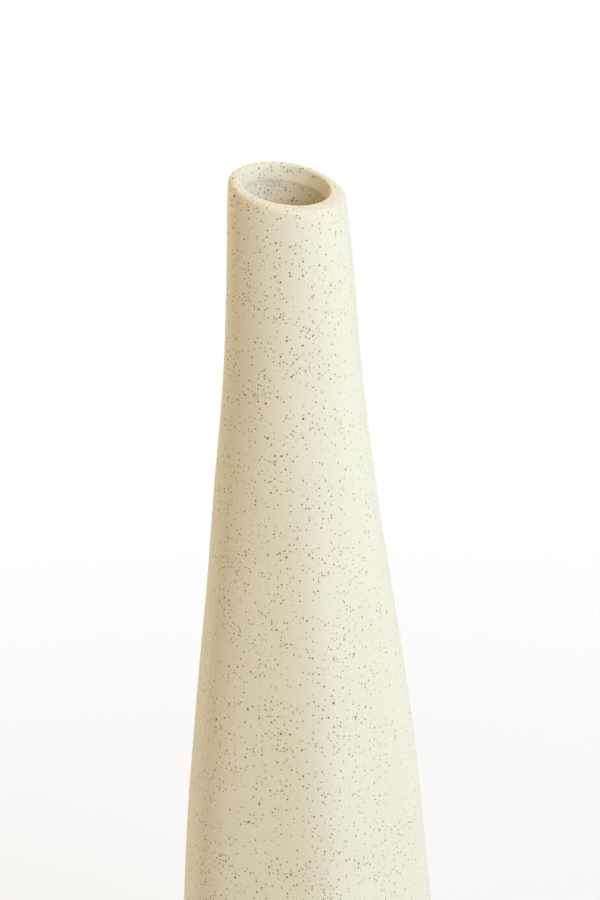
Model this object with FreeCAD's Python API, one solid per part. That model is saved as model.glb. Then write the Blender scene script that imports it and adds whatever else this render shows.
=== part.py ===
import FreeCAD, Part
import math
import os

# Bottle vase in speckled stoneware: a soft six-sided body that turns round towards a narrow,
# leaning neck, with a thick lip cut on a slant. The fired clay is one piece. A satin glaze coats
# it outside, over the lip and into the mouth, and a liner glaze coats the bore and the floor.
# Millimetres and degrees, Z up, front is -Y. The origin is on the table, under the body's middle.

os.makedirs("parts", exist_ok=True)

Vector = FreeCAD.Vector
UP = Vector(0.0, 0.0, 1.0)

# Outer form of the clay
rim_height = 392.0         # table to the middle of the slanted lip
body_half_width = 53.5     # axis to the middle of a flat side, low on the body
neck_lean = 9.5            # how far the mouth stands to the left of the foot
side_count = 6             # flat sides of the body
ridge_turn = 10.0          # the front ridge stands this far to the right of the front
round_power = 2.0          # section power that gives a true circle
ridge_power = 8.0          # section power that gives the body's soft ridges

# Lip and mouth of the clay
lip_tilt = 16.0            # slant of the lip against the table
lip_turn = 28.0            # the lip's low point, to the right of the front
lip_width = 4.3            # outer edge of the lip to the opening
lip_outer_round = 2.4      # rolled outer edge of the lip
lip_inner_round = 0.5      # inner edge of the lip
crease_depth = 6.0         # lip to the crease where the trimmed mouth meets the cast bore
crease_inset = 0.6         # how much the mouth draws in from the lip to the crease

# Walls of the clay
wall = 5.0                 # body and neck, below the crease
floor_thickness = 8.0      # table to the inside of the floor
floor_round = 14.0         # inside corner between the floor and the wall

# Glaze
glaze = 0.5                # thickness of both coats
dry_line = 5.0             # the outer coat stops this far above the table

# Foot
base_round = 12.0          # outside corner between the body and the foot
foot_ring_width = 6.0      # flat ring that touches the table
foot_recess = 2.0          # the underside stands this far off the table inside the ring
foot_edge_round = 0.6      # softened edges of the recess

# Drawing aids
overrun = 30.0             # how far a cutting solid runs past what it cuts
point_count = 36           # points on each section curve

# Sections from the table upwards. Each row holds the height, the half width, the lean and the
# strength of the ridges, as shares of rim_height, body_half_width, neck_lean and the powers' range.
# The row at 1.00 is the lip, and the last row only carries the neck's taper past the cut.
section_shares = [
    (0.00, 1.000, 0.00, 1.00),
    (0.10, 1.000, 0.00, 1.00),
    (0.22, 0.954, 0.10, 1.00),
    (0.34, 0.885, 0.21, 0.93),
    (0.46, 0.799, 0.29, 0.83),
    (0.58, 0.693, 0.45, 0.67),
    (0.70, 0.596, 0.62, 0.37),
    (0.82, 0.507, 0.72, 0.10),
    (0.92, 0.462, 0.83, 0.00),
    (1.00, 0.415, 1.00, 0.00),
    (1.08, 0.330, 1.24, 0.00),
]
foot_row_shares = section_shares[0]
lip_row_shares = section_shares[-2]
bore_rows_shares = section_shares[:-2]


def lip_slopes():
    """Rise of the lip's plane along X and along Y."""
    fall = math.tan(math.radians(lip_tilt))
    turn = math.radians(lip_turn)
    return -fall * math.sin(turn), fall * math.cos(turn)


def lip_normal():
    """Unit vector square to the lip, pointing out of the mouth."""
    along_x, along_y = lip_slopes()
    return Vector(-along_x, -along_y, 1.0).normalize()


def mouth_centre(rise):
    """Point on the neck's axis, this far above the clay's lip."""
    return Vector(-neck_lean * lip_row_shares[2], 0.0, rim_height * lip_row_shares[0] + rise)


def mouth_radius(coat):
    """Radius of the opening at the lip, narrowed by the coat."""
    return body_half_width * lip_row_shares[1] - lip_width - coat


def ridge_reach(turn, power):
    """Reach of the soft polygon at an angle counted from a ridge."""
    step = 360.0 / side_count
    total = 0.0
    for side in range(side_count):
        cosine = math.cos(math.radians(turn - (side + 0.5) * step))
        total += max(cosine, 0.0) ** power
    return total ** (-1.0 / power)


def section_points(half_width, power):
    """Points round a level section about its own middle, starting at the front ridge."""
    flat = ridge_reach(0.5 * 360.0 / side_count, power)
    points = []
    for step in range(point_count):
        turn = 360.0 * step / point_count
        radius = half_width * ridge_reach(turn, power) / flat
        heading = math.radians(turn + ridge_turn)
        points.append(Vector(radius * math.sin(heading), -radius * math.cos(heading), 0.0))
    return points


def closed_wire(points):
    """Smooth closed curve through the points, with evenly numbered parameters."""
    curve = Part.BSplineCurve()
    steps = [float(step) for step in range(len(points) + 1)]
    curve.interpolate(Points=points, PeriodicFlag=True, Parameters=steps)
    return Part.Wire(curve.toShape())


def level_wire(row_shares, growth):
    """Level section of the body from one row, grown outwards."""
    height_share, width_share, lean_share, ridge_share = row_shares
    power = round_power + (ridge_power - round_power) * ridge_share
    middle = Vector(-neck_lean * lean_share, 0.0, rim_height * height_share)
    outline = section_points(body_half_width * width_share + growth, power)
    return closed_wire([middle + point for point in outline])


def slanted_wire(radius, rise):
    """Section of the mouth that is a circle from above and lies parallel to the lip."""
    along_x, along_y = lip_slopes()
    middle = mouth_centre(rise)
    points = []
    for point in section_points(radius, round_power):
        lift = along_x * point.x + along_y * point.y
        points.append(middle + Vector(point.x, point.y, lift))
    return closed_wire(points)


def half_space(point, direction):
    """Solid that fills one side of a plane, over the whole vase."""
    return Part.makeCylinder(rim_height, rim_height, point, direction)


def edges_in_plane(shape, point, normal, reach):
    """Edges that lie in a plane, no further than the reach from a point of it."""
    found = []
    for edge in shape.Edges:
        span = edge.LastParameter - edge.FirstParameter
        places = [edge.valueAt(edge.FirstParameter + share * span) for share in (0.1, 0.35, 0.6, 0.85)]
        offsets = [place - point for place in places]
        level = all(abs(offset.dot(normal)) < 0.1 * glaze for offset in offsets)
        if level and all(offset.Length < reach for offset in offsets):
            found.append(edge)
    return found


def outside_form(coat):
    """Solid inside the vase's outer surface, with the lip cut on its slant and the base rounded."""
    form = Part.makeLoft([level_wire(row, coat) for row in section_shares], True, False)
    lip_point = mouth_centre(coat)
    form = form.cut(half_space(lip_point, lip_normal()))
    lip_edges = edges_in_plane(form, lip_point, lip_normal(), body_half_width)
    form = form.makeFillet(lip_outer_round + coat, lip_edges)
    base_edges = edges_in_plane(form, Vector(), UP, 2.0 * body_half_width)
    return form.makeFillet(base_round + coat, base_edges)


def mouth_hollow(coat):
    """Trimmed mouth from the crease up, which opens slightly and runs out past the lip."""
    crease_radius = mouth_radius(coat) - crease_inset
    flare = crease_inset / crease_depth
    top_radius = mouth_radius(coat) + flare * overrun
    wires = [slanted_wire(crease_radius, -crease_depth), slanted_wire(top_radius, overrun)]
    return Part.makeLoft(wires, True, True)


def bore_hollow(coat):
    """Cast space from the floor up to the crease, which ends in the mouth's own slanted section."""
    wires = [level_wire(row, -wall - coat) for row in bore_rows_shares]
    wires.append(slanted_wire(mouth_radius(coat) - crease_inset, -crease_depth))
    hollow = Part.makeLoft(wires, True, False)
    floor_point = Vector(0.0, 0.0, floor_thickness + coat)
    hollow = hollow.cut(half_space(floor_point, -UP))
    corner = edges_in_plane(hollow, floor_point, UP, 2.0 * body_half_width)
    return hollow.makeFillet(floor_round, corner)


def lipped_form(coat):
    """Outer form with the trimmed mouth cut in and both edges of the lip rounded."""
    form = outside_form(coat).cut(mouth_hollow(coat))
    inner_reach = mouth_radius(coat) + 0.5 * lip_width
    inner_edges = edges_in_plane(form, mouth_centre(coat), lip_normal(), inner_reach)
    return form.makeFillet(lip_inner_round + coat, inner_edges)


def foot_hollow():
    """Shallow recess that leaves the foot ring standing."""
    outline = level_wire(foot_row_shares, -base_round - foot_ring_width)
    block = Part.Face(outline).extrude(foot_recess * UP)
    ceiling = edges_in_plane(block, foot_recess * UP, UP, 2.0 * body_half_width)
    return block.makeFillet(foot_edge_round, ceiling)


def clay_body(form, bore):
    """Fired clay: wall, lip, floor and foot ring in one piece."""
    clay = form.cut(bore).cut(foot_hollow())
    inner_ring = edges_in_plane(clay, Vector(), UP, body_half_width - base_round - 0.5 * foot_ring_width)
    return clay.makeFillet(foot_edge_round, inner_ring)


def outer_glaze(form):
    """Satin coat over the outside, the lip and the trimmed mouth, above the dry foot."""
    coated = lipped_form(glaze)
    coated = coated.cut(Part.makeCylinder(rim_height, dry_line))
    return coated.cut(form)


def liner_glaze(bore):
    """Liner coat over the bore and the floor, trimmed off where the mouth starts."""
    return bore.cut(mouth_hollow(0.0)).cut(bore_hollow(glaze))


def save(shape, name):
    """Write one piece, after a check that it is a single closed solid."""
    if len(shape.Solids) != 1 or not shape.isValid() or not shape.isClosed():
        raise ValueError(name + " is not one closed valid solid")
    shape.Solids[0].exportStep("parts/" + name + ".step")
    print(name, "volume %.0f cubic mm" % shape.Volume)


clay_form = lipped_form(0.0)
clay_bore = bore_hollow(0.0)
save(clay_body(clay_form, clay_bore), "clay_body")
save(outer_glaze(clay_form), "outer_glaze")
save(liner_glaze(clay_bore), "liner_glaze")
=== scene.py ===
from math import cos, pi, radians, sin, tan

import bpy
import numpy as np
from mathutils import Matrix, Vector


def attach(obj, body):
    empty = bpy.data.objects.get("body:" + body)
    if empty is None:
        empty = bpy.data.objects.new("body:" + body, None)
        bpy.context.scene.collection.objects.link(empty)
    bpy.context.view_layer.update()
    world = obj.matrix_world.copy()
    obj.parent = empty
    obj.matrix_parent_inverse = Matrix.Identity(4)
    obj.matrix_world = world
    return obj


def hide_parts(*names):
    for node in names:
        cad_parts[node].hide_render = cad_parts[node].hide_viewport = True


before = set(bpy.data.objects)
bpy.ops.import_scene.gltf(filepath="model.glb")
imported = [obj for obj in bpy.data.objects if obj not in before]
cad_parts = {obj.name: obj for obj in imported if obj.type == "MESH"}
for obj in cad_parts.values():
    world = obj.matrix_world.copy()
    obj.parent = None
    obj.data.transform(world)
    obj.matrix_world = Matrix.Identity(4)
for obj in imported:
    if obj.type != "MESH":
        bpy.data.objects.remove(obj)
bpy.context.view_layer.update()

scene = bpy.context.scene
scene.view_settings.view_transform = "Standard"

# Bottle vase in speckled stoneware. Metres and degrees, Z up, front is -Y. Every surface is a grid:
# one direction runs round the vase by heading (0 is the front, 90 the right), the other along a profile.

vaseForm = {
    "rimHeight": 0.392,          # table to the middle of the slanted lip
    "bodyHalfWidth": 0.0535,     # axis to the middle of a flat side
    "neckLean": 0.0095,          # the mouth stands this far left of the foot
    "sideCount": 6,
    "ridgeTurn": 10.0,           # front ridge, right of the front
    "roundPower": 2.0,           # section power of a circle
    "ridgePower": 8.0,           # section power of the soft ridges
    "baseRound": 0.012,          # corner between the body and the foot
    "dryLine": 0.005,            # the outer glaze stops this far above the table
    "glaze": 0.0005,             # thickness of both coats
    # height, half width, lean and ridge strength, as shares of the sizes above
    "sectionShares": [
        (0.00, 1.000, 0.00, 1.00),
        (0.10, 1.000, 0.00, 1.00),
        (0.22, 0.954, 0.10, 1.00),
        (0.34, 0.885, 0.21, 0.93),
        (0.46, 0.799, 0.29, 0.83),
        (0.58, 0.693, 0.45, 0.67),
        (0.70, 0.596, 0.62, 0.37),
        (0.82, 0.507, 0.72, 0.10),
        (0.92, 0.462, 0.83, 0.00),
        (1.00, 0.415, 1.00, 0.00),
        (1.08, 0.330, 1.24, 0.00),
    ],
}

around = 320                     # grid columns round the vase
heading = np.arange(around) * 2 * pi / around
outward = np.stack([np.sin(heading), -np.cos(heading), np.zeros(around)], axis=-1)


def smoothThrough(knots, values, places):
    # natural cubic spline: second slopes balance at every knot, and each span is the cubic they give
    knots, values = np.asarray(knots), np.asarray(values)
    gap = np.diff(knots)
    inner = np.arange(1, len(knots) - 1)
    balance = np.eye(len(knots))
    balance[inner, inner - 1] = gap[:-1]
    balance[inner, inner] = 2 * (gap[:-1] + gap[1:])
    balance[inner, inner + 1] = gap[1:]
    jump = np.zeros(len(knots))
    jump[inner] = 6 * np.diff(np.diff(values) / gap)
    bend = np.linalg.solve(balance, jump)
    span = np.clip(np.searchsorted(knots, places) - 1, 0, len(knots) - 2)
    width, before, after = gap[span], places - knots[span], knots[span + 1] - places
    cubic = (bend[span] * after ** 3 + bend[span + 1] * before ** 3) / (6 * width)
    start = values[span] / width - bend[span] * width / 6
    end = values[span + 1] / width - bend[span + 1] * width / 6
    return cubic + start * after + end * before


def sectionAt(height):
    # half width, axis offset along X and section power at a height
    shares = np.array(vaseForm["sectionShares"])
    knots = shares[:, 0] * vaseForm["rimHeight"]
    width = vaseForm["bodyHalfWidth"] * smoothThrough(knots, shares[:, 1], height)
    lean = -vaseForm["neckLean"] * smoothThrough(knots, shares[:, 2], height)
    ridge = np.clip(smoothThrough(knots, shares[:, 3], height), 0, 1)
    power = vaseForm["roundPower"] + (vaseForm["ridgePower"] - vaseForm["roundPower"]) * ridge
    return width, lean, power


def ridgeReach(power):
    # soft polygon by heading: (sum over sides of max(0, cos(angle to the side)) ^ power) ^ (-1 / power),
    # divided by its value in the middle of a flat side
    step = 2 * pi / vaseForm["sideCount"]
    turn = heading - radians(vaseForm["ridgeTurn"])
    total, flat = 0, 0
    for side in range(vaseForm["sideCount"]):
        total = total + np.maximum(np.cos(turn - (side + 0.5) * step), 0) ** power
        flat = flat + max(cos(side * step), 0) ** power
    return (total / flat) ** (-1 / power)


def unit(vectors):
    return vectors / np.linalg.norm(vectors, axis=-1, keepdims=True)


def levelPoints(height, grow, widen=0.0):
    # axis at the height + outward * ((half width + widen) * soft polygon + grow);
    # the height is rows x 1 or rows x around
    height = np.asarray(height, float) + np.zeros((1, around))
    width, lean, power = sectionAt(height)
    radius = (width + widen) * ridgeReach(power) + grow
    points = outward * radius[..., None]
    points[..., 0] += lean
    points[..., 2] = height
    return points


def towards(degrees):
    # 1 at this heading, falling by the squared cosine to 0 a quarter turn away
    return np.maximum(np.cos(heading - radians(degrees)), 0) ** 2


def halfTurn(degrees, steepness=0.9):
    # 1 over the side that faces this heading and 0 over the far side:
    # 1/2 + steepness * cosine of the turn off it, held to 0..1
    return np.clip(0.5 + steepness * np.cos(heading - np.radians(degrees)), 0, 1)


def narrowBell(degrees, spread):
    # 1 at this heading, falling as exp(-(turn off it / spread)^2), in degrees
    turnOff = (np.degrees(heading) - degrees + 180) % 360 - 180
    return np.exp(-(turnOff / spread) ** 2)


handFinish = {                   # metres that the outside stands inside its true form
    "steady": 0.00004,
    "swell": 0.00026,            # slow swells left by fettling and sponging
    # two waves make them: waves round the vase, radians per metre of height, radians at the foot's front
    "slowWave": (2, 31.0, 0.0),
    "quickWave": (3, -57.0, 1.3),
    "lowBody": 0.00034,          # the last stretch above the foot draws in a little
    "lowHeight": 0.06,
    "lipClear": 0.006,           # nothing is taken off this close to the lip
    "fadeBelowLip": 0.03,
}


def waveAngle(height, count, climb, start):
    # count * heading + climb * height + start, in radians
    return count * heading + climb * height + start


def drawnIn(height):
    # steady + low-body share + swell * (1 + sin(slow wave) * cos(quick wave)) / 2,
    # faded to 0 just below the lip
    slow = np.sin(waveAngle(height, *handFinish["slowWave"]))
    swell = 0.5 + 0.5 * slow * np.cos(waveAngle(height, *handFinish["quickWave"]))
    low = np.clip(1 - height / handFinish["lowHeight"], 0, 1)
    fadeTop = vaseForm["rimHeight"] - handFinish["lipClear"]
    below = np.clip((fadeTop - height) / handFinish["fadeBelowLip"], 0, 1)
    return below * (handFinish["steady"] + handFinish["swell"] * swell + handFinish["lowBody"] * low)


lip = {
    "tilt": 16.0,                # slant against the table
    "turn": 28.0,                # low point, right of the front
    "width": 0.0043,             # outer edge to the opening, in clay
    "outerRound": 0.0024,        # rolled outer edge, in clay
    "softRound": 0.0012,         # the sponge took this much more off the outer edge on the right
    "softTurn": 95.0,
    "crispRound": 0.0013,        # and left it this much crisper at the front left
    "crispTurn": -55.0,
    "innerRound": 0.0005,
    "innerSoft": 0.0015,         # the inner edge runs this much softer on the left
    "innerSoftTurn": -85.0,
    "flatRings": 2,              # rings on the flat between the two rolls
    "settleTimes": 8,            # times that the outer edge is put back on the slanted plane
    "coatShare": 0.96,           # the coat on top is a touch thinner than on the wall
    "creaseDepth": 0.006,        # lip to the crease where the mouth meets the bore
    "creaseInset": 0.0006,       # the mouth draws in this much down to the crease
    "creaseReach": 0.0006,       # half height of the shadowed line on the crease
    "paintedLightTurn": -110.0,          # painted light: both coats are painted paler on the left of the mouth, where the light falls inside
}
lipSlopes = (-tan(radians(lip["tilt"])) * sin(radians(lip["turn"])),
             tan(radians(lip["tilt"])) * cos(radians(lip["turn"])))
lipShares = vaseForm["sectionShares"][-2]        # the row at the lip's middle
openingRadius = vaseForm["bodyHalfWidth"] * lipShares[1] - lip["width"]


def slantedCircle(radius, rise):
    # circle from above round the neck's axis, in the plane parallel to the lip, rise above the clay's lip
    points = outward * radius
    points[:, 2] = lipSlopes[0] * points[:, 0] + lipSlopes[1] * points[:, 1]
    return points + (-vaseForm["neckLean"], 0, vaseForm["rimHeight"] + rise)


def lipEdge(coat):
    # where the wall meets the lip's plane: height = plane's height over the wall's point, until it settles
    height = np.full((1, around), vaseForm["rimHeight"])
    for time in range(lip["settleTimes"]):
        points = levelPoints(height, coat)
        planeRise = lipSlopes[0] * (points[..., 0] + vaseForm["neckLean"]) + lipSlopes[1] * points[..., 1]
        height = vaseForm["rimHeight"] + coat * lip["coatShare"] + planeRise
    return levelPoints(height, coat)[0]


def rolledEdge(corner, one, other, radius, steps):
    # arc of the radius that touches both directions from the corner, from the first to the second
    half = np.arccos(np.clip(np.sum(one * other, axis=-1, keepdims=True), -1, 1)) / 2
    reach = radius / np.tan(half)
    middle = corner + unit(one + other) * radius / np.sin(half)
    start, end = corner + one * reach - middle, corner + other * reach - middle
    blend = np.linspace(0, 1, steps)[:, None, None]
    return middle + unit(start * (1 - blend) + end * blend) * radius


def spacedRows(start, end, steps):
    # straight rows between two rings, both ends included
    blend = np.linspace(0, 1, steps)[:, None, None]
    return start * (1 - blend) + end * blend


def edgeRolls(coat):
    # radii by heading: outer = round + coat + soft * towards the right - crisp * towards the front left,
    # inner = round + coat + soft * towards the left
    outer = lip["outerRound"] + coat + lip["softRound"] * towards(lip["softTurn"])
    outer = outer - lip["crispRound"] * towards(lip["crispTurn"])
    inner = lip["innerRound"] + coat + lip["innerSoft"] * towards(lip["innerSoftTurn"])
    return outer[:, None], inner[:, None]


def lipRows(coat, roundSteps, bandSteps):
    # from the rolled outer edge over the flat lip and down the trimmed mouth to the crease
    corner = lipEdge(coat)
    opening = slantedCircle(openingRadius - coat, coat * lip["coatShare"])
    crease = slantedCircle(openingRadius - coat - lip["creaseInset"], -lip["creaseDepth"])
    below = levelPoints(corner[None, :, 2] - lip["outerRound"], coat)[0]
    down, inward, back = unit(below - corner), unit(opening - corner), unit(crease - opening)
    outerRoll, innerRoll = edgeRolls(coat)
    outerArc = rolledEdge(corner, down, inward, outerRoll, roundSteps)
    innerArc = rolledEdge(opening, -inward, back, innerRoll, roundSteps)
    band = spacedRows(innerArc[-1], crease, bandSteps)
    flat = spacedRows(outerArc[-1], innerArc[0], lip["flatRings"] + 2)
    return np.concatenate([outerArc, flat[1:-1], innerArc, band[1:]])


def wallRows(coat, startHeight, top, steps, roundSteps):
    # up the outside: the base corner's quarter round from the start height,
    # then the wall to the ring at the top
    corner = vaseForm["baseRound"] + coat
    start = np.arccos(1 - (startHeight + 0 * heading) / corner)
    angle = np.linspace(start, pi / 2, roundSteps)
    height = corner * (1 - np.cos(angle))
    base = levelPoints(height, coat - corner * (1 - np.sin(angle)) - drawnIn(height))
    blend = np.linspace(0, 1, steps)[1:-1, None]
    height = corner * (1 - blend) + top[None, :, 2] * blend
    wall = levelPoints(height, coat - drawnIn(height))
    return np.concatenate([base, wall])


bore = {
    "wall": 0.005,               # clay below the crease
    "floorThickness": 0.008,
    "floorRound": 0.014,         # corner between the floor and the wall
    "joinShare": 0.92,           # height share from which the bore closes on the crease
    "rowCrowding": 1.5,          # rings lie closer together towards the crease
}


def boreRows(coat, steps, roundSteps):
    # from the crease down the cast wall, which eases onto the crease by the square of the way up,
    # then the floor corner's quarter round
    crease = slantedCircle(openingRadius - coat - lip["creaseInset"], -lip["creaseDepth"])
    floorTop = bore["floorThickness"] + coat
    low = floorTop + bore["floorRound"]
    blend = np.linspace(0, 1, steps)[:, None] ** bore["rowCrowding"]
    height = crease[None, :, 2] * (1 - blend) + low * blend
    join = bore["joinShare"] * vaseForm["rimHeight"]
    ease = np.clip((height - join) / (crease[None, :, 2] - join), 0, 1) ** 2
    miss = crease - levelPoints(crease[None, :, 2], 0, -bore["wall"] - coat)[0]
    wall = levelPoints(height, 0, -bore["wall"] - coat) + ease[..., None] * miss
    angle = np.linspace(pi / 2, 0, roundSteps)[1:, None]
    drop = bore["floorRound"] * (1 - np.sin(angle))
    corner = levelPoints(floorTop + bore["floorRound"] * (1 - np.cos(angle)), -drop, -bore["wall"] - coat)
    return np.concatenate([wall, corner])


def floorRows(edge, height, steps):
    # level rings from the edge in to the floor's middle, without either, and the middle itself
    middle = np.array((0.0, 0.0, height))
    return spacedRows(edge, middle, steps)[1:-1], middle


def gridMesh(name, rows, poles=None, sharpFrom=38.0):
    # quads between neighbouring rings; with no poles the last ring joins the first,
    # else a fan closes each end
    ringCount = len(rows)
    points = rows.reshape(-1, 3)
    column = np.arange(around)
    ring = np.arange(ringCount if poles is None else ringCount - 1)[:, None] * around
    nextRing = (ring + around) % len(points)
    nextColumn = (column + 1) % around
    faces = np.stack([ring + column, ring + nextColumn, nextRing + nextColumn, nextRing + column], axis=-1)
    faceList = faces.reshape(-1, 4).tolist()
    if poles is not None:
        first, last = len(points), len(points) + 1
        end = (ringCount - 1) * around
        points = np.concatenate([points, np.array(poles)])
        faceList += np.stack([nextColumn, column, np.full(around, first)], axis=-1).tolist()
        faceList += np.stack([end + column, end + nextColumn, np.full(around, last)], axis=-1).tolist()
    mesh = bpy.data.meshes.new(name)
    mesh.from_pydata(points.tolist(), [], faceList)
    mesh.polygons.foreach_set("use_smooth", np.ones(len(mesh.polygons), bool))
    mesh.set_sharp_from_angle(angle=radians(sharpFrom))
    mesh.update()
    piece = bpy.data.objects.new(name, mesh)
    scene.collection.objects.link(piece)
    return piece


def pointValues(piece, name, values):
    # one number per vertex, for a material to read; the poles keep 0
    field = piece.data.attributes.new(name, "FLOAT", "POINT")
    whole = np.zeros(len(piece.data.vertices), np.float32)
    whole[:values.size] = values.ravel()
    field.data.foreach_set("value", whole)


def aboveCrease(rows):
    # height of each point over the crease at its own heading
    return rows[..., 2] - slantedCircle(openingRadius, -lip["creaseDepth"])[:, 2]


def creaseShade(rows):
    # painted shade along the crease: 1 on the crease, falling as exp(-(height from it / reach)^2)
    return np.exp(-(aboveCrease(rows) / lip["creaseReach"]) ** 2)


ironCluster = {
    "turn": -161.0,              # just left of the back
    "spread": 15.0,
    "rise": -0.0026,             # its middle lies this far from the crease
    "reach": 0.0050,
}


def clusterShade(rows):
    # iron gathered at one place of the mouth: narrow bell round it * exp(-(height off it / reach)^2)
    heightOff = aboveCrease(rows) - ironCluster["rise"]
    upright = np.exp(-(heightOff / ironCluster["reach"]) ** 2)
    return narrowBell(ironCluster["turn"], ironCluster["spread"]) * upright


clayBody = {
    "footRingWidth": 0.006,
    "footRecess": 0.002,
    "footEdgeRound": 0.0006,
    "wallSteps": 60,
    "footSteps": 14,
    "recessSteps": 8,
    "edgeSteps": 5,
    # rings that the coats share where they lie on the clay
    "roundSteps": 5,
    "bandSteps": 4,
    "boreSteps": 40,
    "boreCornerSteps": 6,
    "floorSteps": 4,
}


def makeClayBody():
    # underside's middle, out over the recess, down to the foot ring, up the wall, over the lip
    # and down to the floor
    ringInside = -vaseForm["baseRound"] - clayBody["footRingWidth"]
    soft = clayBody["footEdgeRound"]
    ceiling = levelPoints([[clayBody["footRecess"]]], 0, ringInside)[0]
    ringEdge = levelPoints([[0.0]], 0, ringInside)[0]
    middle = np.array((0.0, 0.0, clayBody["footRecess"]))
    up, out = np.array((0.0, 0.0, 1.0)), outward
    recessCorner = rolledEdge(ceiling, -out, -up + 0 * out, soft, clayBody["edgeSteps"])
    ringCorner = rolledEdge(ringEdge, up + 0 * out, out, soft, clayBody["edgeSteps"])
    under = spacedRows(middle + 0 * out, recessCorner[0], clayBody["recessSteps"])[1:-1]
    lipSide = lipRows(0.0, clayBody["roundSteps"], clayBody["bandSteps"])
    wall = wallRows(0.0, 0.0, lipSide[0], clayBody["wallSteps"], clayBody["footSteps"])
    inside = boreRows(0.0, clayBody["boreSteps"], clayBody["boreCornerSteps"])
    floor, floorMiddle = floorRows(inside[-1], bore["floorThickness"], clayBody["floorSteps"])
    rows = np.concatenate([under, recessCorner, ringCorner, wall, lipSide, inside[1:], floor])
    return gridMesh("clay_body_fired", rows, (middle, floorMiddle))


outerGlaze = {
    "wallSteps": 180,
    "baseSteps": 16,
    "roundSteps": 9,
    "bandSteps": 16,
    "backSteps": 40,             # rings on the side that lies on the clay
    "backBaseSteps": 8,
    "edgeRoll": 0.0018,          # height over which the coat thins at the dry line
    "edgeRollShare": 0.8,        # share of the coat that is gone there
    "dryWave": 0.0005,           # the dry line wanders up by this much
    # how thin the coat runs on the edges and the dry line, and how much shade is painted in the mouth and
    # on the left ridge, 0 to 1: all round, and more towards a heading
    "outerThin": (0.05, 0.95),   # the lip's outer edge
    "outerThinTurn": -45.0,
    "innerThin": (0.15, 0.30),   # the lip's inner edge
    "innerThinTurn": 120.0,
    "mouthShade": (0.2, 0.9),     # painted shade down the mouth, top and bottom, towards the inner edge's heading, where the inside faces away from the light
    "dryThin": 0.8,              # on the dry line
    "coreShade": 0.55,              # painted shade: a warm dark band down the left ridge, where its core shadow lies
    "coreShadeTurn": -56.0,
    "coreShadeSpread": 8.0,
    "litWashoutTurn": 85.0,            # painted light: specks are faded and thinned out towards this side, where the light falls brightest
}


def dryLineHeight():
    # by heading: dry line + wave * (2 + sin(5 heading + 1) + sin(8 heading) * cos(3 heading)) / 4
    wander = np.sin(5 * heading + 1.0) + np.sin(8 * heading) * np.cos(3 * heading)
    return vaseForm["dryLine"] + outerGlaze["dryWave"] * (2 + wander) / 4


def shadeOuterGlaze(piece, rows, lipStart, above):
    # how thin the coat runs, where shade and light are painted on it, and how iron stained it is; from the
    # ring at the lip's start there follow the outer edge, the flat, the inner edge and the mouth, and all
    # later rings lie on the clay
    steps = outerGlaze["roundSteps"]
    innerEdge = lipStart + steps + lip["flatRings"]
    mouthTop = innerEdge + steps
    mouthEnd = mouthTop + outerGlaze["bandSteps"] - 1
    thinAndShade, crease, cluster, pale = np.zeros((4,) + rows.shape[:2])
    # the coat running thin: a sine bell over each rolled edge and the square of the nearness to the dry
    # line;
    # painted shade: a slope down the mouth and a band down the left ridge's core shadow
    bell = np.sin(np.linspace(0, pi, steps))[:, None] ** 2
    allRound, more = outerGlaze["outerThin"]
    thinAndShade[lipStart:lipStart + steps] = bell * (allRound + more * towards(outerGlaze["outerThinTurn"]) ** 3)
    allRound, more = outerGlaze["innerThin"]
    thinAndShade[innerEdge:mouthTop] = bell * (allRound + more * towards(outerGlaze["innerThinTurn"]))
    down = np.linspace(*outerGlaze["mouthShade"], mouthEnd - mouthTop)[:, None]
    thinAndShade[mouthTop:mouthEnd] = down * towards(outerGlaze["innerThinTurn"])
    coreShade = outerGlaze["coreShade"] * narrowBell(outerGlaze["coreShadeTurn"], outerGlaze["coreShadeSpread"])
    thinAndShade[:lipStart] = np.maximum(outerGlaze["dryThin"] * (1 - above) ** 2, coreShade)
    mouth = slice(innerEdge, mouthEnd)
    # painted shade along the crease
    crease[mouth] = creaseShade(rows[mouth])
    cluster[mouth] = clusterShade(rows[mouth])
    # painted light: paler on the lit left of the mouth, fading in over the inner roll
    pale[mouth] = halfTurn(lip["paintedLightTurn"])
    pale[innerEdge:mouthTop] *= np.linspace(0, 1, steps)[:, None] ** 2
    # painted light: the specks fade on the brightly lit right
    pointValues(piece, "litWashout", towards(outerGlaze["litWashoutTurn"]) * np.ones(rows.shape[:2]))
    pointValues(piece, "pale", pale)
    pointValues(piece, "thinAndShade", thinAndShade)
    pointValues(piece, "crease", crease)
    pointValues(piece, "cluster", cluster)


def makeOuterGlaze():
    # a closed coat: up the glazed side from the dry line to the crease, then back along the clay
    lipSide = lipRows(vaseForm["glaze"], outerGlaze["roundSteps"], outerGlaze["bandSteps"])
    dryEdge = dryLineHeight()
    wall = wallRows(vaseForm["glaze"], dryEdge, lipSide[0],
                    outerGlaze["wallSteps"], outerGlaze["baseSteps"])
    lipBack = lipRows(0.0, clayBody["roundSteps"], clayBody["bandSteps"])
    wallBack = wallRows(0.0, dryEdge, lipBack[0], outerGlaze["backSteps"], outerGlaze["backBaseSteps"])
    # the coat's edge rolls in: it loses its edge share * (1 - sqrt(1 - (1 - rise above the dry line)^2))
    above = np.clip((wall[..., 2:] - wall[:1, :, 2:]) / outerGlaze["edgeRoll"], 0, 1)
    rolledIn = vaseForm["glaze"] * (1 - np.sqrt(1 - (1 - above) ** 2)) * outerGlaze["edgeRollShare"]
    wall = wall - outward * rolledIn
    back = np.concatenate([wallBack, lipBack])[::-1]
    rows = np.concatenate([wall, lipSide, back])
    piece = gridMesh("outer_glaze_coat", rows)
    shadeOuterGlaze(piece, rows, len(wall), above[..., 0])
    return piece


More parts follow.
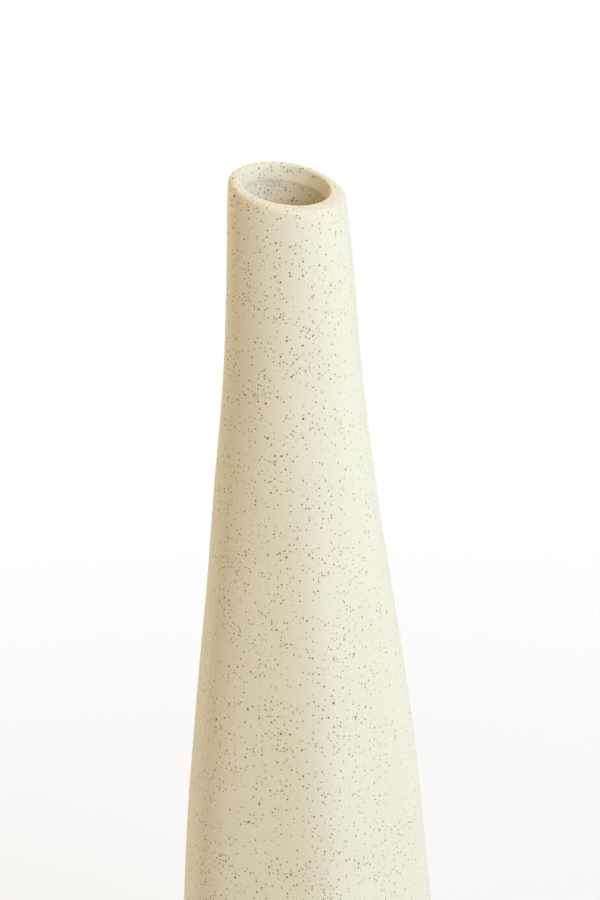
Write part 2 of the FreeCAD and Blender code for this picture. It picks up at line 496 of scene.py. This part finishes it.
linerGlaze = {
    "wallSteps": 170,
    "cornerSteps": 12,
    "floorSteps": 8,
    "shadeTurn": 80.0,            # painted shade: darker and warmer towards this heading at the crease, where the inside faces away from the light
    "deepTurn": 45.0,            # and this much further round below it
    "deepStart": 0.003,          # metres below the crease
    "deepReach": 0.006,
}


def makeLinerGlaze():
    # a closed cup: up the clay side from the floor's middle to the crease, then down the glazed side
    side = boreRows(vaseForm["glaze"], linerGlaze["wallSteps"], linerGlaze["cornerSteps"])
    back = boreRows(0.0, clayBody["boreSteps"], clayBody["boreCornerSteps"])
    floorTop = bore["floorThickness"] + vaseForm["glaze"]
    floor, floorMiddle = floorRows(side[-1], floorTop, linerGlaze["floorSteps"])
    under, underMiddle = floorRows(back[-1], bore["floorThickness"], clayBody["floorSteps"])
    rows = np.concatenate([under[::-1], back[::-1], side, floor])
    piece = gridMesh("liner_glaze_coat", rows, (underMiddle, floorMiddle))
    # painted shade: the liner is darkened and warmed on the right, where the inside lies in shade, and
    # further round to the back by the square of the depth below the crease
    deep = np.clip((-aboveCrease(rows) - linerGlaze["deepStart"]) / linerGlaze["deepReach"], 0, 1) ** 2
    pointValues(piece, "thinAndShade", halfTurn(linerGlaze["shadeTurn"] + linerGlaze["deepTurn"] * deep))
    # painted light: paler on the left of the bore, where light falls inside
    pointValues(piece, "pale", halfTurn(lip["paintedLightTurn"]) + 0 * rows[..., 2])
    # painted shade along the crease
    pointValues(piece, "crease", creaseShade(rows))
    pointValues(piece, "cluster", clusterShade(rows))
    return piece


outerPiece = makeOuterGlaze()
linerPiece = makeLinerGlaze()
clayPiece = makeClayBody()
print("Vase: grids made")


class Shade:
    # one socket of a material: + - * / on it add Math nodes, and node() adds any other node
    def __init__(self, tree, socket=None):
        self.tree = tree
        self.socket = socket

    def node(self, kind, settings=None, inputs=None, output=0):
        made = self.tree.nodes.new(kind)
        for name, value in (settings or {}).items():
            setattr(made, name, value)
        for place, value in (inputs or {}).items():
            if isinstance(value, Shade):
                self.tree.links.new(value.socket, made.inputs[place])
            else:
                made.inputs[place].default_value = value
        return Shade(self.tree, made.outputs[output]) if made.outputs else made

    def out(self, name):
        return Shade(self.tree, self.socket.node.outputs[name])

    def math(self, operation, first, second):
        return self.node("ShaderNodeMath", {"operation": operation}, {0: first, 1: second})

    def __add__(self, other):
        return self.math("ADD", self, other)

    def __radd__(self, other):
        return self.math("ADD", other, self)

    def __sub__(self, other):
        return self.math("SUBTRACT", self, other)

    def __rsub__(self, other):
        return self.math("SUBTRACT", other, self)

    def __mul__(self, other):
        return self.math("MULTIPLY", self, other)

    def __rmul__(self, other):
        return self.math("MULTIPLY", other, self)

    def __truediv__(self, other):
        return self.math("DIVIDE", self, other)

    def __rtruediv__(self, other):
        return self.math("DIVIDE", other, self)

    def ramp(self, low, high, start=0.0, end=1.0):
        # from start to end by a smooth step of this value between low and high
        return self.node("ShaderNodeMapRange", {"interpolation_type": "SMOOTHSTEP"},
                         {0: self, 1: low, 2: high, 3: start, 4: end})

    def mixed(self, first, second):
        # from the first colour to the second, with this value as the factor
        return self.node("ShaderNodeMix", {"data_type": "RGBA"}, {0: self, 6: first, 7: second}, output=2)

    def noise(self, scale, detail, output=0):
        # this vector's noise, scale in cells per metre
        return self.node("ShaderNodeTexNoise", None,
                         {"Vector": self, "Scale": scale, "Detail": detail}, output)

    def vector(self, operation, inputs, output=0):
        # vector maths with this vector first
        return self.node("ShaderNodeVectorMath", {"operation": operation}, {0: self, **inputs}, output)

    def pointValue(self, name):
        return self.node("ShaderNodeAttribute", {"attribute_name": name}, output=2)


def newMaterial(name):
    material = bpy.data.materials.new(name)
    material.use_nodes = True
    tree = material.node_tree
    tree.nodes.clear()
    return material, Shade(tree)


def colour(red, green, blue):
    return (red, green, blue, 1.0)


def finishSurface(g, look, tone, roughness, relief):
    # the closing nodes of a glaze or the clay
    bump = g.node("ShaderNodeBump", None,
                  {"Strength": look["bump"], "Distance": look["bumpDepth"], "Height": relief})
    surface = g.node("ShaderNodeBsdfPrincipled", None,
                     {"Base Color": tone, "Roughness": roughness, "Normal": bump,
                      "Specular IOR Level": look["specular"]})
    g.node("ShaderNodeOutputMaterial", None, {"Surface": surface})


speckledGlaze = {
    "cream": colour(0.86, 0.84, 0.70),
    "mottle": colour(0.81, 0.755, 0.58),      # slightly thinner coat, in soft clouds
    "mottleShare": 0.16,
    "pale": colour(0.95, 0.93, 0.79),         # painted light on the lit left inside the mouth
    "edge": colour(0.81, 0.65, 0.45),         # clay warms the coat where it runs thin on the edges and dry line; the same tan is painted shade in the mouth and on the left ridge
    "edgeShare": 0.62,
    "edgeSteady": 0.4,                        # part of that warmth which is even
    "edgeCloudy": 0.8,                        # and the part that follows the clouds
    "creaseShadeTone": colour(0.50, 0.43, 0.29),   # painted shade: a fine dark line along the crease
    "creaseShadeShare": 0.34,
    "speck": colour(0.070, 0.066, 0.003),     # olive brown iron
    "rust": colour(0.20, 0.090, 0.025),       # some redder specks
    "rustFrom": (0.80, 0.88),                 # of the random picks, 0 to 1
    "rustGathered": 0.7,                      # share of rust where iron gathers
    "halo": colour(0.62, 0.52, 0.24),         # iron bled into the glaze round a speck
    "haloShare": 0.32,
    "litWashoutShare": 0.66,                        # painted light: how far the specks fade on the lit side
    "meltShare": 0.40,                        # how far gathered iron has melted away into its stain
    "stain": colour(0.52, 0.44, 0.29),        # tint of the iron gathered in the mouth
    "stainShare": 0.26,
    "roughness": 0.55,
    "speckRough": 0.15,                       # added on a speck
    "grainRough": 0.08,
    "specular": 0.35,
    # noises: cells per metre, and detail
    "patchNoise": (95.0, 2.0),
    "cloudNoise": (26.0, 3.0),
    "grainNoise": (1800.0, 2.0),
    "swellNoise": (120.0, 2.0),
    "wanderNoise": (1300.0, 1.0),
    "wanderReach": 0.0004,                    # metres that a speck's outline is moved by
    # where a noise starts to show and shows fully
    "mottleFade": (0.35, 0.7),
    "stainFade": (0.25, 0.6),
    # shares of the cells by which specks gain or lose
    "patchCrowd": 1.3,
    "gatheredCrowd": 0.65,
    # painted light: specks thin out this much on the lit side
    "litWashoutCrowd": 0.1,
    # a speck, as shares of its layer's largest radius and strength
    "smallest": 0.68,
    "faintest": 0.50,
    "solidTo": 0.75,
    "haloFade": (0.8, 2.0),
    "showFade": 0.06,                         # picks this close to the limit are half shown
    # surface relief
    "swellHeight": 0.7,
    "grainHeight": 0.12,
    "speckPit": 0.25,
    "bump": 0.35,
    "bumpDepth": 0.0002,
    # cell size, largest radius, share of cells that hold a speck, strength, metres that keep layers apart;
    # the last layer's share is below 0, so it shows only where specks crowd
    "layersApart": (1.0, 0.7, -1.0),
    "layers": [
        (0.00125, 0.00039, 0.37, 1.00, 0.0),
        (0.0021, 0.00050, 0.36, 1.00, 3.1),
        (0.0043, 0.00064, 0.22, 1.00, 7.7),
        (0.0008, 0.00031, -0.12, 0.60, 12.3),
    ],
}


def speckLayer(g, look, place, crowd, cell, radius, share, strength, shift):
    # one Voronoi point per cell; its random colour picks whether it shows, its size and its darkness;
    # the mask falls from 1 inside the solid share of its radius to 0 at its edge
    moved = place.vector("ADD", {1: tuple(shift * part for part in look["layersApart"])})
    cells = g.node("ShaderNodeTexVoronoi", {"feature": "F1"}, {"Vector": moved, "Scale": 1 / cell})
    picks = g.node("ShaderNodeSeparateColor", None, {0: cells.out("Color")})
    shown = (picks + crowd).ramp(1 - share, 1 - share + look["showFade"])
    size = (look["smallest"] + picks.out("Green") * (1 - look["smallest"])) * (radius / cell)
    distance = cells / size
    mask = distance.ramp(look["solidTo"], 1.0, 1.0, 0.0) * shown
    depth = look["faintest"] + (1 - look["faintest"]) * picks.out("Blue")
    halo = distance.ramp(*look["haloFade"], 1.0, 0.0) * shown
    return mask * depth * strength, halo * depth, picks.out("Green")


def makeSpeckledGlaze(name, look):
    material, g = newMaterial(name)
    coords = g.node("ShaderNodeTexCoord", output=3)
    # outlines wander: a fine noise moves each point by a fraction of a speck
    wander = coords.noise(*look["wanderNoise"], output=1)
    centred = wander.vector("SUBTRACT", {1: (0.5, 0.5, 0.5)})
    place = coords.vector("ADD", {1: centred.vector("SCALE", {"Scale": look["wanderReach"]})})
    patches = coords.noise(*look["patchNoise"])
    clouds = coords.noise(*look["cloudNoise"])
    thinAndShade, crease, cluster = g.pointValue("thinAndShade"), g.pointValue("crease"), g.pointValue("cluster")
    litWashout, pale = g.pointValue("litWashout"), g.pointValue("pale")
    # specks crowd in patches and where iron gathers, and are fewer on the lit side, which is painted light
    crowd = (patches - 0.5) * look["patchCrowd"] + cluster * look["gatheredCrowd"]
    crowd = crowd - litWashout * look["litWashoutCrowd"]
    mottled = clouds.ramp(*look["mottleFade"])
    body = (mottled * look["mottleShare"]).mixed(look["cream"], look["mottle"])
    # painted light: paler on the lit left of the mouth and bore
    body = pale.mixed(body, look["pale"])
    warmth = look["edgeSteady"] + look["edgeCloudy"] * clouds
    # the clay's warmth where the coat runs thin, and painted shade in the mouth, on the left ridge and in
    # the bore
    body = (thinAndShade * warmth * look["edgeShare"]).mixed(body, look["edge"])
    # painted shade: a dark line along the crease
    body = (crease * look["creaseShadeShare"]).mixed(body, look["creaseShadeTone"])
    stained = cluster * patches.ramp(*look["stainFade"])
    body = (stained * look["stainShare"]).mixed(body, look["stain"])
    specks = halos = 0.0
    for layer in look["layers"]:
        mask, halo, pick = speckLayer(g, look, place, crowd, *layer)
        specks = g.math("MAXIMUM", specks, mask)
        halos = g.math("MAXIMUM", halos, halo)
    # painted light: specks fade on the lit side; gathered iron melts into its stain
    specks = specks * (1 - litWashout * look["litWashoutShare"] - cluster * look["meltShare"])
    # the last layer's picks choose which iron is rust
    rusty = pick.ramp(*look["rustFrom"]) + cluster * look["rustGathered"]
    iron = rusty.mixed(look["speck"], look["rust"])
    haloed = (halos * look["haloShare"]).mixed(body, look["halo"])
    finished = specks.mixed(haloed, iron)
    grain = coords.noise(*look["grainNoise"])
    swell = coords.noise(*look["swellNoise"])
    relief = swell * look["swellHeight"] + grain * look["grainHeight"] - specks * look["speckPit"]
    roughness = look["roughness"] + specks * look["speckRough"] + (grain - 0.5) * look["grainRough"]
    finishSurface(g, look, finished, roughness, relief)
    return material


linerLook = {
    **speckledGlaze,
    # painted light: paler on the lit left of the bore
    "pale": colour(0.98, 0.96, 0.84),
    "edge": colour(0.73, 0.57, 0.36),         # painted shade: darker and warmer where the inside of the bore lies in shade
    "edgeShare": 1.0,
    "roughness": 0.40,
}


dryClay = {
    "buff": colour(0.52, 0.40, 0.27),
    "sand": colour(0.36, 0.25, 0.15),
    "blotchNoise": (60.0, 4.0),               # cells per metre, and detail
    "blotchShare": 0.6,
    "gritScale": 900.0,                       # cells per metre
    "gritFade": (0.1, 0.32),                  # of a grain's cell
    "gritShare": 0.35,
    "roughness": 0.88,
    "specular": 0.2,
    "bump": 0.5,
    "bumpDepth": 0.0002,
}


def makeDryClay(name, look):
    material, g = newMaterial(name)
    coords = g.node("ShaderNodeTexCoord", output=3)
    blotch = coords.noise(*look["blotchNoise"])
    grit = g.node("ShaderNodeTexVoronoi", {"feature": "F1"}, {"Vector": coords, "Scale": look["gritScale"]})
    grains = grit.ramp(*look["gritFade"], 1.0, 0.0)
    sandy = blotch * look["blotchShare"] + grains * look["gritShare"]
    tone = sandy.mixed(look["buff"], look["sand"])
    finishSurface(g, look, tone, look["roughness"], grit + blotch)
    return material


outerPiece.data.materials.append(makeSpeckledGlaze("speckled satin glaze", speckledGlaze))
linerPiece.data.materials.append(makeSpeckledGlaze("liner glaze", linerLook))
clayPiece.data.materials.append(makeDryClay("dry stoneware", dryClay))
print("Materials: glazes and clay made")

for piece, node, slot in ((outerPiece, "outer_glaze", "speckled_glaze"),
                          (linerPiece, "liner_glaze", "liner_glaze"),
                          (clayPiece, "clay_body", "bare_clay")):
    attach(piece, "root")
    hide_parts(node)

daylight = (0.925, 1.012, 1.12)      # tint of the lamps that stand for the window

studio = {
    "floorHalf": 8.0,                # half of the floor's side
    "floorTone": colour(0.855, 0.875, 0.925),
    # white share of the floor that the camera sees: at the foot, then added by two fades
    # (start and end in metres from the vase's axis, and the share that each adds)
    "footWhite": 0.42,
    "nearFade": (0.05, 0.18, 0.37),
    "farFade": (0.14, 0.80, 0.21),
    "lampDistance": 1.8,
    "lampSize": 0.9,
    "lampHeight": 0.25,              # the lamps look at this height on the vase
    # name, azimuth right of the front, elevation, watts, colour
    "lamps": [
        ("keyLamp", 45.0, 35.0, 16.5, daylight),
        ("sideLamp", 90.0, 5.0, 6.6, daylight),
        ("highLamp", 90.0, 65.0, 3.2, daylight),
        ("warmFill", -45.0, 35.0, 6.1, (1.02, 0.81, 0.48)),
        ("warmHigh", -90.0, 65.0, 4.1, (1.02, 0.74, 0.38)),
        ("warmRear", -150.0, 5.0, 6.2, (1.02, 0.72, 0.35)),
        ("rearLamp", 180.0, 20.0, 7.0, (1.0, 0.97, 0.90)),
    ],
    "worldColour": (1.0, 0.818, 0.54),
    "worldStrength": 0.232,
    "target": (-0.0039, 0.0, 0.2835),
    "pitch": 17.0,                   # the camera looks down by this much
    "cameraDistance": 1.010,
    "lens": 100.0,                   # millimetres
    "frameSide": 36.0,               # millimetres, the long side of the frame
}


def facing(azimuth, elevation):
    # unit vector from the vase towards a place, by azimuth right of the front and elevation
    flat = cos(radians(elevation))
    across, ahead = sin(radians(azimuth)) * flat, -cos(radians(azimuth)) * flat
    return np.array((across, ahead, sin(radians(elevation))))


def aim(thing, place, target):
    # -Z of a lamp or camera looks from the place to the target, with Y up
    thing.location = place
    thing.rotation_euler = Vector(target - place).to_track_quat("-Z", "Y").to_euler()


def seenRays(g):
    # 1 on rays from the camera, a gloss or glass
    rays = g.node("ShaderNodeLightPath")
    direct = g.math("MAXIMUM", rays, rays.out("Is Glossy Ray"))
    return g.math("MAXIMUM", direct, rays.out("Is Transmission Ray"))


def makeFloor():
    # matt to the light, and partly plain white to the camera, so that the shadow at the foot stays
    points = np.array([(-1, -1, 0), (1, -1, 0), (1, 1, 0), (-1, 1, 0)]) * studio["floorHalf"]
    mesh = bpy.data.meshes.new("floor")
    mesh.from_pydata(points.tolist(), [], [(0, 1, 2, 3)])
    floor = bpy.data.objects.new("floor", mesh)
    scene.collection.objects.link(floor)
    material, g = newMaterial("pale floor")
    coords = g.node("ShaderNodeTexCoord", output=3)
    away = coords.vector("LENGTH", {}, output=1)
    fade = studio["footWhite"]
    for start, end, share in (studio["nearFade"], studio["farFade"]):
        fade = fade + away.ramp(start, end, 0.0, share)
    fade = fade * seenRays(g)
    matt = g.node("ShaderNodeBsdfDiffuse", None, {"Color": studio["floorTone"]})
    white = g.node("ShaderNodeEmission", None, {"Color": colour(1, 1, 1), "Strength": 1.0})
    mixed = g.node("ShaderNodeMixShader", None, {0: fade, 1: matt, 2: white})
    g.node("ShaderNodeOutputMaterial", None, {"Surface": mixed})
    floor.data.materials.append(material)


def makeWorld():
    # white where the camera, a gloss or glass looks at it, and a soft warm light for the rest
    world = bpy.data.worlds.new("studio")
    scene.world = world
    world.use_nodes = True
    world.node_tree.nodes.clear()
    g = Shade(world.node_tree)
    light = g.node("ShaderNodeBackground", None,
                   {"Color": colour(*studio["worldColour"]), "Strength": studio["worldStrength"]})
    white = g.node("ShaderNodeBackground", None, {"Color": colour(1, 1, 1), "Strength": 1.0})
    mixed = g.node("ShaderNodeMixShader", None, {0: seenRays(g), 1: light, 2: white})
    g.node("ShaderNodeOutputWorld", None, {"Surface": mixed})


def makeLamps():
    middle = np.array((0.0, 0.0, studio["lampHeight"]))
    for name, azimuth, elevation, watts, tint in studio["lamps"]:
        data = bpy.data.lights.new(name, "AREA")
        data.shape, data.size, data.energy, data.color = "SQUARE", studio["lampSize"], watts, tint
        lamp = bpy.data.objects.new(name, data)
        scene.collection.objects.link(lamp)
        aim(lamp, middle + facing(azimuth, elevation) * studio["lampDistance"], middle)


def makeCamera():
    data = bpy.data.cameras.new("camera")
    data.lens, data.sensor_width = studio["lens"], studio["frameSide"]
    camera = bpy.data.objects.new("camera", data)
    scene.collection.objects.link(camera)
    target = np.array(studio["target"])
    aim(camera, target + facing(0.0, studio["pitch"]) * studio["cameraDistance"], target)
    scene.camera = camera


makeFloor()
makeWorld()
makeLamps()
makeCamera()
print("Studio: floor, lamps and camera made")
